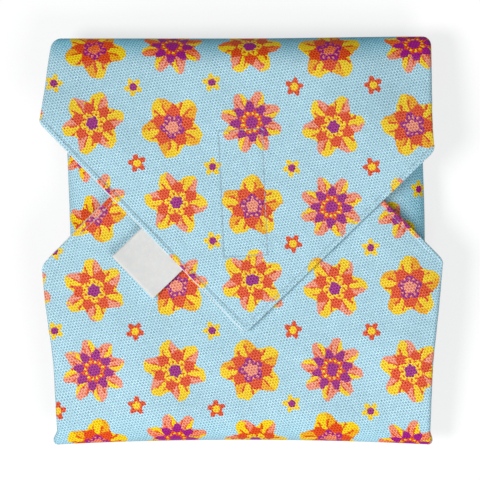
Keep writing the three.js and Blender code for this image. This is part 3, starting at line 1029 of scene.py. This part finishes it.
def printedClothMaterial():
    material, tree, shader = newMaterial("printedCloth")
    flat = flatCut(tree)
    weave = placeGroup(tree, weaveGroup, Flat=flat)
    colour = placeGroup(tree, printGroup, Flat=flat, Over=weave["Over"])["Colour"]
    # painted shade between the threads and painted highlight on their tops, mixed by the weave's shade
    deep, pale = (addNode(tree, "ShaderNodeGamma", {"Color": colour, "Gamma": clothLookAndWeaveShade[key]}).outputs[0]
                  for key in ("gapShadeGamma", "topHighlightGamma"))
    paintedShadeColour = mixColour(tree, weave["Shade"], deep, pale)
    # painted shade along the folds
    foldShadeMask = paintedFoldShade(tree, flat)
    foldShadeSaturation = ramp(tree, foldShadeMask, 0.0, 1.0, 1.0, foldShadePaint["richer"])
    paintedShadeColour = addNode(tree, "ShaderNodeHueSaturation", {"Color": paintedShadeColour, "Saturation": foldShadeSaturation}).outputs[0]
    tone = ramp(tree, weave["Shade"], 0.0, 1.0, *clothLookAndWeaveShade["tone"])
    for factor in (
        ramp(tree, noise(tree, flat, 0.07, 3.0), 0.3, 0.7, *clothLookAndWeaveShade["fade"]),
        # painted shade in the stitched crease round the hook tape
        ramp(tree, tapeCreaseShade(tree, flat), 0.0, 1.0, 1.0, hookTape["creaseShadeTone"]),
        ramp(tree, foldShadeMask, 0.0, 1.0, 1.0, foldShadePaint["darker"]),
    ):
        tone = times(tree, tone, factor)
    feed(tree, shader["Base Color"], toned(tree, paintedShadeColour, tone))
    feed(tree, shader["Roughness"], ramp(tree, weave["Height"], 0.4, 1.0, *clothLookAndWeaveShade["roughness"]))
    feed(tree, shader["Normal"], bumpFrom(tree, weave["Height"], clothLookAndWeaveShade["bump"], 0.7))
    shader["Specular IOR Level"].default_value = 0.32
    shader["Sheen Weight"].default_value = 0.12
    shader["Sheen Roughness"].default_value = 0.45
    return material


def linerMaterial():
    material, tree, shader = newMaterial("linerFilm")
    flat = flatCut(tree)
    weave = placeGroup(tree, weaveGroup, Flat=flat, Warp=0.45, Weft=0.45)
    creases = noise(tree, flat, 0.11, 4.0, 0.62)
    tone = ramp(tree, creases, 0.25, 0.75, 0.78, 0.86)
    warmth = 0.985
    feed(tree, shader["Base Color"], combine(tree, tone, tone, times(tree, tone, warmth)))
    feed(tree, shader["Roughness"], ramp(tree, creases, 0.3, 0.7, 0.34, 0.5))
    soft = bumpFrom(tree, creases, 0.9, 0.5)
    feed(tree, shader["Normal"], bumpFrom(tree, weave["Height"], 0.04, 0.5, soft))
    return material


def threadMaterial():
    material, tree, shader = newMaterial("sewingThread")
    inputs = {"Vector": objectPlace(tree), "Scale": 900.0, "Distortion": 1.5}
    twist = addNode(tree, "ShaderNodeTexWave", inputs, bands_direction="DIAGONAL").outputs["Fac"]
    low, high = colourOf(146, 178, 194), colourOf(200, 219, 229)
    feed(tree, shader["Base Color"], mixColour(tree, twist, low, high))
    feed(tree, shader["Roughness"], ramp(tree, twist, 0, 1, 0.7, 0.55))
    feed(tree, shader["Normal"], bumpFrom(tree, twist, 0.05, 0.6))
    return material


def pileMaterial(name, low, high, roughness):
    material, tree, shader = newMaterial(name)
    place = objectPlace(tree)
    speck = noise(tree, place, 1400.0)
    patch = noise(tree, place, 160.0)
    share = times(tree, plus(tree, speck, patch), 0.5)
    feed(tree, shader["Base Color"], mixColour(tree, ramp(tree, share, 0.3, 0.7, 0, 1), low, high))
    feed(tree, shader["Roughness"], ramp(tree, speck, 0.3, 0.7, roughness, roughness + 0.15))
    feed(tree, shader["Normal"], bumpFrom(tree, speck, 0.06, 0.6))
    return material


def ribbonMaterial():
    material, tree, shader = newMaterial("satinRibbon")
    flat = flatCut(tree)
    weave = placeGroup(tree, weaveGroup, Flat=flat, Warp=0.3, Weft=0.22, Turn=0.0, Slub=0.1)
    mottle = noise(tree, flat, 0.5, 3.0)
    warm, cool = colourOf(238, 236, 232), colourOf(231, 233, 233)
    colour = mixColour(tree, ramp(tree, mottle, 0.35, 0.65, 0, 1), warm, cool)
    feed(tree, shader["Base Color"], toned(tree, colour, ramp(tree, weave["Shade"], 0.0, 1.0, 0.93, 1.02)))
    feed(tree, shader["Roughness"], ramp(tree, mottle, 0.3, 0.7, 0.36, 0.5))
    feed(tree, shader["Normal"], bumpFrom(tree, weave["Height"], 0.05, 0.6))
    return material


printedCloth = printedClothMaterial()
linerFilm = linerMaterial()
sewingThread = threadMaterial()
loopNap = pileMaterial("loopNap", colourOf(214, 217, 215), colourOf(240, 241, 238), 0.8)
hookNylon = pileMaterial("hookNylon", colourOf(206, 211, 211), colourOf(235, 237, 235), 0.42)
satinRibbon = ribbonMaterial()
print("materials:", len(bpy.data.materials))


# Back: the tray is a stack of rings, from its rim down the wall and in along the floor
def quarterTurned(turn, across, along):
    return [(across, along), (-along, across), (-across, -along), (along, -across)][turn]


def backRing(inward, z, offset, spread):
    # one ring of the tray, and where its points lie on the cloth before folding
    halfX, halfY = halfWidth - inward - offset, halfLength - inward - offset
    corner = trayCorner(inward) - offset * backShape["offsetShare"]
    corner = min(corner, backShape["cornerMost"] * halfX)
    outline = []
    for turn in range(4):
        reach, span = (halfX, halfY) if turn % 2 == 0 else (halfY, halfX)
        for step in range(backShape["sideSteps"]):
            outline.append((turn, reach, (2 * step / backShape["sideSteps"] - 1) * (span - corner), 0.0))
        for step in range(backShape["cornerSteps"]):
            angle = step / backShape["cornerSteps"] * math.pi / 2
            across, along = reach - corner * (1 - math.cos(angle)), span - corner * (1 - math.sin(angle))
            outline.append((turn, across, along, angle))
    points, flats = [], []
    for turn, across, along, angle in outline:
        x, y = quarterTurned(turn, across, along)
        flats.append(quarterTurned(turn, across + spread * math.cos(angle), along + spread * math.sin(angle)))
        height = z / foldHeight
        side = rightFlap if x > 0 else leftFlap
        end = topFlap if y > 0 else lowerFlap
        sideShift = side["foldShift"](y) * smooth(abs(x), backShape["sideShiftStart"], halfWidth)
        endShift = end["foldShift"](x) * smooth(abs(y), backShape["endShiftStart"], halfLength)
        place = x - sideShift * height * np.sign(x), y - endShift * height * np.sign(y)
        points.append((*place, z * slackAt(side, x, y)))
    return points, flats


def backTray(name, offset, rim, sinkStart, sinkFull, thickness, material, turn):
    rimAngle = math.asin(1 - rim / foldHeight)
    rings = []
    for angle in np.linspace(rimAngle, math.pi / 2, backShape["wallRows"]):
        z = foldHeight - (foldHeight - offset) * math.sin(angle)
        sink = backShape["sink"] * smooth(z, sinkStart, sinkFull)
        spread = foldRadius * (math.pi / 2 - angle - math.cos(angle))
        rings.append(backRing(foldRadius * (1 - math.cos(angle)), z, offset * math.cos(angle) + sink, spread))
    for share in np.linspace(0, 1, backShape["flatRows"])[1:]:
        inward = foldRadius + share * (halfWidth - foldRadius - backShape["middle"])
        rings.append(backRing(inward, offset, 0, 0))
    points, flat = (np.concatenate([ring[part] for ring in rings]) for part in (0, 1))
    x, y = points[:, 0], points[:, 1]
    fromSide, fromEnd = halfWidth - np.abs(x), halfLength - np.abs(y)
    inside = smooth(fromSide, *backShape["puffEdge"]) * smooth(fromEnd, *backShape["puffEdge"])
    rolling = waves(x, y, backShape["seed"], *backShape["waves"]) * backShape["puffWaves"]
    points[:, 2] += backShape["puff"] * inside * (backShape["puffLevel"] + rolling)
    count = len(rings[0][0])
    faces = []
    for ring in range(len(rings) - 1):
        for step in range(count):
            first, after = ring * count + step, ring * count + (step + 1) % count
            faces.append([first, after, after + count, first + count])
    faces.append([(len(rings) - 1) * count + step for step in range(count)])
    faces = [face[::turn] for face in faces]
    return thicken(meshPiece(name, points, faces, flat, material), thickness)


seam = plies["seamHeight"]
clothRim = backShape["clothRim"]
backCloth = backTray("back_cloth_sheet", 0.0, clothRim, seam, clothRim, plies["cloth"], printedCloth, -1)
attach(backCloth, "back")
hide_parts("back_cloth")
linerRim, linerSink = backShape["linerRim"], backShape["linerSinkStart"]
backLiner = backTray("back_liner_sheet", plies["linerBelow"], linerRim, linerSink, seam - plies["seamLap"],
                     plies["liner"], linerFilm, 1)
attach(backLiner, "back")
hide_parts("back_liner")
print("back made")


def acrossFold(piece, node):
    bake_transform(piece)
    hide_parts(node)


for flap in flaps:
    body = flap["body"]
    cloth = gridPiece(body + "_cloth_sheet", *flapCloth(flap), turnOf(flap), plies["cloth"], printedCloth)
    acrossFold(cloth, body + "_cloth")
    liner = gridPiece(body + "_liner_sheet", *flapLiner(flap), turnOf(flap), plies["liner"], linerFilm)
    acrossFold(liner, body + "_liner")

for flap, end in ((topFlap, "top"), (lowerFlap, "lower")):
    for side, word in ((-1, "left"), (1, "right")):
        node = f"{end}_{word}_tuck"
        points, flat = tuckCloth(flap, side)
        tuck = gridPiece(node + "_sheet", points, flat, turnOf(flap) * side, plies["cloth"], printedCloth)
        acrossFold(tuck, node)
print("corners made")


# Stitches, hooks and loops as node trees
def endTree(tree, enter, leave, instances):
    solid = addNode(tree, "GeometryNodeRealizeInstances", {"Geometry": instances}).outputs[0]
    softened = addNode(tree, "GeometryNodeSetShadeSmooth", {"Geometry": solid}).outputs[0]
    inputs = {"Geometry": softened, "Material": enter["Material"]}
    feed(tree, leave["Geometry"], addNode(tree, "GeometryNodeSetMaterial", inputs).outputs[0])


def newTree(name, floats, whole):
    inputs = [("Geometry", "Geometry"), *((title, "Float") for title in floats),
              *((title, "Int") for title in whole), ("Material", "Material")]
    return newGroup("GeometryNodeTree", name, inputs, [("Geometry", "Geometry")])


def stitchTree():
    tree, enter, leave = newTree("stitchRow", ("Pitch", "Length", "Width", "Height"), ("Seed",))
    run = addNode(tree, "GeometryNodeMeshToCurve", {"Mesh": enter["Geometry"]}).outputs[0]
    inputs = {"Curve": run, "Length": enter["Pitch"]}
    spaced = addNode(tree, "GeometryNodeResampleCurve", inputs, mode="LENGTH").outputs[0]
    inputs = {"Segments": 7, "Rings": 5, "Radius": 1.0}
    bead = addNode(tree, "GeometryNodeMeshUVSphere", inputs).outputs["Mesh"]
    size = combine(tree, *(times(tree, enter[title], 0.5) for title in ("Length", "Width", "Height")))
    bead = addNode(tree, "GeometryNodeTransform", {"Geometry": bead, "Scale": size}).outputs[0]
    inputs = {"Name": "faceOut"}
    out = addNode(tree, "GeometryNodeInputNamedAttribute", inputs, data_type="FLOAT_VECTOR").outputs[0]
    along = addNode(tree, "GeometryNodeInputTangent").outputs[0]
    first = addNode(tree, "FunctionNodeAlignRotationToVector", {"Vector": along}, axis="X").outputs[0]
    turn = addNode(tree, "FunctionNodeAlignRotationToVector", {"Rotation": first, "Vector": out}, axis="Z",
                   pivot_axis="X").outputs[0]
    inputs = {"Min": (0.92, 0.9, 0.85), "Max": (1.05, 1.1, 1.1), "Seed": enter["Seed"]}
    vary = addNode(tree, "FunctionNodeRandomValue", inputs, data_type="FLOAT_VECTOR").outputs[0]
    inputs = {"Points": spaced, "Instance": bead, "Rotation": turn, "Scale": vary}
    endTree(tree, enter, leave, addNode(tree, "GeometryNodeInstanceOnPoints", inputs).outputs[0])
    return tree


def pileTree(name, bend):
    # a field of short bent wires; bend gives a wire's middle and end as shares of its reach and height
    floats = ("Width", "Length", "Reach", "Height", "Wire", "Turn", "Scatter")
    tree, enter, leave = newTree(name, floats, ("Across", "Down", "Seed"))
    inputs = {"Size X": enter["Width"], "Size Y": enter["Length"],
              "Vertices X": enter["Across"], "Vertices Y": enter["Down"]}
    field = addNode(tree, "GeometryNodeMeshGrid", inputs).outputs["Mesh"]
    inputs = {"Min": (-1, -1, 0), "Max": (1, 1, 0), "Seed": enter["Seed"]}
    shake = addNode(tree, "FunctionNodeRandomValue", inputs, data_type="FLOAT_VECTOR").outputs[0]
    offset = addNode(tree, "ShaderNodeVectorMath", {0: shake, "Scale": enter["Scatter"]}, operation="SCALE")
    inputs = {"Geometry": field, "Offset": offset.outputs[0]}
    moved = addNode(tree, "GeometryNodeSetPosition", inputs).outputs[0]

    def wirePoint(out, up):
        return combine(tree, times(tree, enter["Reach"], out), 0.0, times(tree, enter["Height"], up))

    start, middle, end = (wirePoint(*shares) for shares in ((0, 0), *bend))
    inputs = {"Resolution": 6, "Start": start, "Middle": middle, "End": end}
    wire = addNode(tree, "GeometryNodeCurveQuadraticBezier", inputs).outputs[0]
    inputs = {"Resolution": 4, "Radius": enter["Wire"]}
    ring = addNode(tree, "GeometryNodeCurvePrimitiveCircle", inputs).outputs[0]
    inputs = {"Curve": wire, "Profile Curve": ring, "Fill Caps": True}
    wire = addNode(tree, "GeometryNodeCurveToMesh", inputs).outputs[0]
    inputs = {2: times(tree, enter["Turn"], -1.0), 3: enter["Turn"], "Seed": enter["Seed"]}
    spin = addNode(tree, "FunctionNodeRandomValue", inputs, data_type="FLOAT").outputs[1]
    inputs = {"Points": moved, "Instance": wire, "Rotation": combine(tree, 0.0, 0.0, spin)}
    endTree(tree, enter, leave, addNode(tree, "GeometryNodeInstanceOnPoints", inputs).outputs[0])
    return tree


def runTree(base, tree, values):
    # gives base the tree's result as a plain mesh
    modifier = base.modifiers.new("rows", "NODES")
    modifier.node_group = tree
    for item in tree.interface.items_tree:
        if item.in_out == "INPUT" and item.name in values:
            modifier[item.identifier] = values[item.name]
    evaluated = base.evaluated_get(bpy.context.evaluated_depsgraph_get())
    made = bpy.data.meshes.new_from_object(evaluated)
    made.name = base.name
    base.modifiers.remove(modifier)
    base.data = made
    return base


stitchNodes = stitchTree()
stitch = {"Pitch": 2.6 * mm, "Length": 2.5 * mm, "Width": 0.36 * mm, "Height": 0.3 * mm, "Seed": 5,
          "Material": sewingThread}
seamRun = {"step": 0.7, "start": 8.0, "proud": 0.02}  # stitch rows start this far in from a fold
linerDepth = plies["linerBelow"] + plies["liner"]


def offsetRun(run, distance):
    # an open run of points moved in from its hem, with mitred corners
    points = np.array(run, float)
    along = unitRows(np.diff(points, axis=0))
    aside = np.stack([along[:, 1], -along[:, 0]], axis=1)
    before, after = np.vstack([aside[:1], aside]), np.vstack([aside, aside[-1:]])
    mitre = distance / (1 + np.sum(before * after, axis=1))
    return points + (before + after) * mitre[:, None]


def densely(run, close=False):
    points = np.vstack([run, run[:1]]) if close else np.array(run)
    pieces = []
    for start, end in zip(points, points[1:]):
        count = max(2, int(np.linalg.norm(end - start) / seamRun["step"]))
        pieces.append(start + (end - start) * np.linspace(0, 1, count, endpoint=False)[:, None])
    return np.vstack(pieces + [points[-1:]])


def onCloth(flap, places, above):
    # places (along, in) as points on the cloth's face, and the way out of it
    a, d = places[:, 0], places[:, 1]
    small = 0.2
    point = clothAt(flap, a, d)
    across = clothAt(flap, a + small, d) - clothAt(flap, a - small, d)
    inward = clothAt(flap, a, d + small) - clothAt(flap, a, d - small)
    out = unitRows(np.cross(across, inward)) * turnOf(flap)
    return point + out * above, out


def stitchRows(name, rows):
    # rows of (points, way out) become one mesh of stitches
    mesh = bpy.data.meshes.new(name)
    points, edges, outs = [], [], []
    for place, out in rows:
        start = len(points)
        points += (place * mm).tolist()
        outs += out.tolist()
        edges += [(start + step, start + step + 1) for step in range(len(place) - 1)]
    mesh.from_pydata(points, edges, [])
    mesh.attributes.new("faceOut", "FLOAT_VECTOR", "POINT").data.foreach_set("vector", np.array(outs).ravel())
    return runTree(linked(name, mesh), stitchNodes, stitch)


def hemStitches(flap):
    run = densely(offsetRun(hemRun(flap), hem["inset"]))
    run = run[run[:, 1] > seamRun["start"]]
    faces = (seamRun["proud"], -linerDepth - seamRun["proud"])
    piece = stitchRows(flap["body"] + "_hem_stitches", [onCloth(flap, run, above) for above in faces])
    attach(piece, flap["body"])
    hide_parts(flap["body"] + "_hem_thread")


for flap in flaps:
    hemStitches(flap)
print("hems stitched")


# Hook and loop tapes: a woven base, a field of hooks or loops, and its stitched rectangle
loopTape = {"width": 20.0, "length": 36.0, "centre": middleOf("loop_tape"), "tilt": 0.0, "stitchInset": 1.3}
tapeFit = {
    "base": 0.4,
    "gap": 0.03,  # between the tape and the cloth
    "proud": 0.08,  # stitches over the tape's face
    "pileEdge": 1.9,  # bare woven edge round the pile
    "columns": 27,
    "rowStep": 0.8,
    "edgeDrop": 0.12,
    "edgeWidth": 0.9,
}
tapeBase = tapeFit["base"]


def tapePlaces(tape, u, v):
    # places on the tape as world x and y
    c, s = math.cos(tape["tilt"]), math.sin(tape["tilt"])
    return tape["centre"][0] + u * c - v * s, tape["centre"][1] + u * s + v * c


def clothHeight(flap, x, y):
    return clothAt(flap, *flapPlace(flap, x, y))[..., 2]


def tapeBasePiece(name, tape, flap, below, upward, material):
    half, long = tape["width"] / 2, tape["length"] / 2
    u = np.linspace(-half, half, tapeFit["columns"])
    v = np.linspace(-long, long, int(tape["length"] / tapeFit["rowStep"]))
    across, down = np.meshgrid(u, v)
    x, y = tapePlaces(tape, across, down)
    z = clothHeight(flap, x, y) + below
    border = np.minimum(half - np.abs(across), long - np.abs(down))
    z = z - upward * tapeFit["edgeDrop"] * (1 - smooth(border, 0, tapeFit["edgeWidth"]))
    points, flat = np.stack([x, y, z], axis=-1), np.stack([across, down], axis=-1)
    return gridPiece(name, points, flat, upward, tapeBase, material)


def tapePile(name, tape, flap, below, upward, pile):
    piece = linked(name, bpy.data.meshes.new(name))
    wide, long = (tape[key] - 2 * tapeFit["pileEdge"] for key in ("width", "length"))
    settings = dict(pile["wires"], Width=wide * mm, Length=long * mm, Across=int(wide / pile["pitch"]) + 1,
                    Down=int(long / pile["pitch"]) + 1)
    runTree(piece, pile["tree"], settings)
    place = np.zeros(len(piece.data.vertices) * 3, np.float32)
    piece.data.vertices.foreach_get("co", place)
    local = place.reshape(-1, 3) / mm
    x, y = tapePlaces(tape, local[:, 0] * upward, local[:, 1])
    z = clothHeight(flap, x, y) + below + local[:, 2] * upward
    piece.data.vertices.foreach_set("co", (np.stack([x, y, z], axis=1) * mm).astype(np.float32).ravel())
    piece.data.update()
    return piece


def tapeStitches(name, tape, flap, faces):
    half, long = (tape[key] / 2 - tape["stitchInset"] for key in ("width", "length"))
    corners = np.array([(-half, -long), (half, -long), (half, long), (-half, long)])
    run = densely(corners, close=True)
    x, y = tapePlaces(tape, run[:, 0], run[:, 1])
    places = np.stack(flapPlace(flap, x, y), axis=1)
    return stitchRows(name, [onCloth(flap, places, above) for above in faces])


hookField = {
    "pitch": 1.05,
    "tree": pileTree("hookField", ((0.1, 1.9), (0.9, 0.55))),
    "wires": {"Reach": 0.5 * mm, "Height": 0.5 * mm, "Wire": 0.09 * mm, "Turn": 0.25, "Scatter": 0.05 * mm,
              "Seed": 8, "Material": hookNylon},
}
loopField = {
    "pitch": 0.72,
    "tree": pileTree("loopField", ((0.5, 1.9), (1.0, 0.0))),
    "wires": {"Reach": 0.75 * mm, "Height": 0.5 * mm, "Wire": 0.05 * mm, "Turn": 3.1, "Scatter": 0.3 * mm,
              "Seed": 9, "Material": loopNap},
}


def tapeSet(node, tape, flap, below, upward, field, stitchFaces):
    base = tapeBasePiece(node + "_base", tape, flap, below, upward, field["wires"]["Material"])
    pile = tapePile(node + "_pile", tape, flap, below, upward, field)
    rows = tapeStitches(node + "_stitches", tape, flap, stitchFaces)
    for piece in (base, pile, rows):
        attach(piece, flap["body"])
    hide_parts(node)
    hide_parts(node + "_thread")


tapeSet("hook_tape", hookTape, topFlap, -linerDepth - tapeBase - tapeFit["gap"], -1, hookField,
        (tapeFit["gap"], -linerDepth - tapeBase - tapeFit["proud"]))
tapeSet("loop_tape", loopTape, lowerFlap, tapeBase + tapeFit["gap"], 1, loopField,
        (tapeBase + tapeFit["proud"], -linerDepth - seamRun["proud"]))
print("tapes made")


# Label: a ribbon folded in half, caught in the hem of the top corner's left edge
label = {
    "width": 23.5,
    "length": 16.5,
    "caught": 2.4,  # how far it runs in under the hem
    "thickness": 0.2,
    "fold": 0.8,  # radius of its folded end
    "startBelow": 0.75,
    "restHeight": 0.8,  # over the lower corner's cloth
    "settle": (-0.5, 8.5),  # it comes down to rest over this stretch out from the hem
    "lift": 0.5,  # its free end stands up a little, more at one corner
    "liftSpan": (9, 17),
    "liftLeast": 0.4,
    "sway": 0.14,
    "swayLength": 4.3,
    "swayPhase": 0.6,
    "swaySpan": (0, 8),
    "bend": (-0.5, 3.5),  # a stretch out from the hem
    "rows": 26,
    "foldRows": 9,
    "columns": 34,
}


def labelFrame():
    hinge, axis = jointPlace["label_swing"], jointAxis["label_swing"]
    along = np.array([axis[0], axis[1]])
    out = np.array([along[1], -along[0]])
    if out[0] > 0:
        out = -out
    return hinge[:2], along / np.linalg.norm(along), out / np.linalg.norm(out)


def labelPiece():
    middle, along, out = labelFrame()
    fold, rows = label["fold"], label["rows"]
    reach = label["length"] - fold
    upper = np.linspace(-label["caught"], reach, rows)
    turn = np.linspace(0, math.pi, label["foldRows"])[1:-1]
    run = np.concatenate([upper, reach + fold * np.sin(turn), upper[::-1]])
    drop = np.concatenate([np.zeros(rows), fold * (1 - np.cos(turn)), np.full(rows, 2 * fold)])
    across = np.linspace(-label["width"] / 2, label["width"] / 2, label["columns"])
    s, w = np.meshgrid(run, across, indexing="ij")
    x = middle[0] + out[0] * s + along[0] * w
    y = middle[1] + out[1] * s + along[1] * w
    startZ = clothHeight(topFlap, middle[0] - out[0], middle[1] - out[1]) - label["startBelow"]
    rest = clothHeight(lowerFlap, x, y) + label["restHeight"] + 2 * fold
    z = startZ + (rest - startZ) * smooth(s, *label["settle"])
    corner = label["liftLeast"] + (w / label["width"] + 0.5) ** 2
    lift = label["lift"] * smooth(s, *label["liftSpan"]) * corner
    swaying = np.sin(w / label["swayLength"] + label["swayPhase"])
    sway = label["sway"] * swaying * smooth(s, *label["swaySpan"])
    z = z + lift + sway - drop[:, None]
    length = np.concatenate([[0], np.cumsum(np.hypot(np.diff(run), np.diff(drop)))])
    flat = np.stack([w, np.broadcast_to(length[:, None], w.shape)], axis=-1)
    points = np.stack([x, y, z], axis=-1)
    facing = 1 if normalsOf(points, 1)[3, 5, 2] > 0 else -1
    piece = gridPiece("label_ribbon_sheet", points, flat, facing, label["thickness"], satinRibbon)
    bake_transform(piece)
    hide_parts("label_ribbon")


labelPiece()
print("label made")


# Floor, light and camera, in metres
studio = {
    "world": 0.2,
    "worldColour": (0.86, 1.0, 1.03),
    "keyPower": 81.0,
    "keyColour": (1.0, 0.965, 0.955),
    "keyPlace": (-2.1, -0.65, 2.8),
    "keySize": 1.4,
    "fillPower": 4.7,
    "fillColour": (1.0, 1.0, 1.0),
    "fillPlace": (0.42, -0.7, 0.78),
    "fillSize": 0.6,
    "floorHalf": 4.0,
    "floorDrop": 0.05,  # in millimetres, just clear of the bag's underside
    "floorTone": 0.36,
    "floorGrain": 0.01,
    "floorWhite": 0.7,  # plain white added to the floor as it is seen or mirrored, so its shadow stays pale
    "photoWidth": 192 * mm,  # how much of the bag's plane the picture takes in
    "cameraHeight": 3.0,
    "aim": (-1.2 * mm, 0.0, 20 * mm),
}


def makeFloor():
    half = studio["floorHalf"]
    corners = np.array([(-half, -half, 0), (half, -half, 0), (half, half, 0), (-half, half, 0)]) / mm
    corners[:, 2] = -studio["floorDrop"]
    material, tree, shader = newMaterial("paleFloor")
    low, high = (studio["floorTone"] + side * studio["floorGrain"] for side in (-1, 1))
    tone = ramp(tree, noise(tree, objectPlace(tree), 3.0), 0.3, 0.7, low, high)
    feed(tree, shader["Base Color"], combine(tree, tone, tone, tone))
    shader["Roughness"].default_value = 0.9
    shader["Specular IOR Level"].default_value = 0.1
    rays = addNode(tree, "ShaderNodeLightPath").outputs
    mirrored = maths(tree, "MAXIMUM", rays["Is Glossy Ray"], rays["Is Transmission Ray"])
    seen = maths(tree, "MAXIMUM", rays["Is Camera Ray"], mirrored)
    glow = times(tree, seen, studio["floorWhite"])
    white = addNode(tree, "ShaderNodeEmission", {"Strength": glow}).outputs[0]
    matt = tree.nodes["Principled BSDF"].outputs[0]
    both = addNode(tree, "ShaderNodeAddShader", {0: matt, 1: white}).outputs[0]
    feed(tree, tree.nodes["Material Output"].inputs["Surface"], both)
    meshPiece("floor", corners, [[0, 1, 2, 3]], None, material)


def makeLight(name):
    lamp = bpy.data.lights.new(name, "AREA")
    lamp.shape = "DISK"
    lamp.size = studio[name + "Size"]
    lamp.energy = studio[name + "Power"]
    lamp.color = studio[name + "Colour"]
    made = linked(name, lamp)
    made.location = studio[name + "Place"]
    made.rotation_mode = "QUATERNION"
    made.rotation_quaternion = (-made.location).to_track_quat("-Z", "Y")


def makeWorld():
    world = bpy.data.worlds.new("softRoom")
    world.use_nodes = True
    background = world.node_tree.nodes["Background"]
    background.inputs["Color"].default_value = (*studio["worldColour"], 1)
    background.inputs["Strength"].default_value = studio["world"]
    scene.world = world


def makeCamera():
    camera = bpy.data.cameras.new("overhead")
    camera.sensor_width = 36
    camera.lens = camera.sensor_width * studio["cameraHeight"] / studio["photoWidth"]
    camera.clip_start = 0.05
    camera.clip_end = 20
    made = linked("overhead", camera)
    x, y, z = studio["aim"]
    made.location = (x, y, z + studio["cameraHeight"])
    scene.camera = made


makeFloor()
for lampName in ("key", "fill"):
    makeLight(lampName)
makeWorld()
makeCamera()
scene.view_settings.view_transform = "Standard"
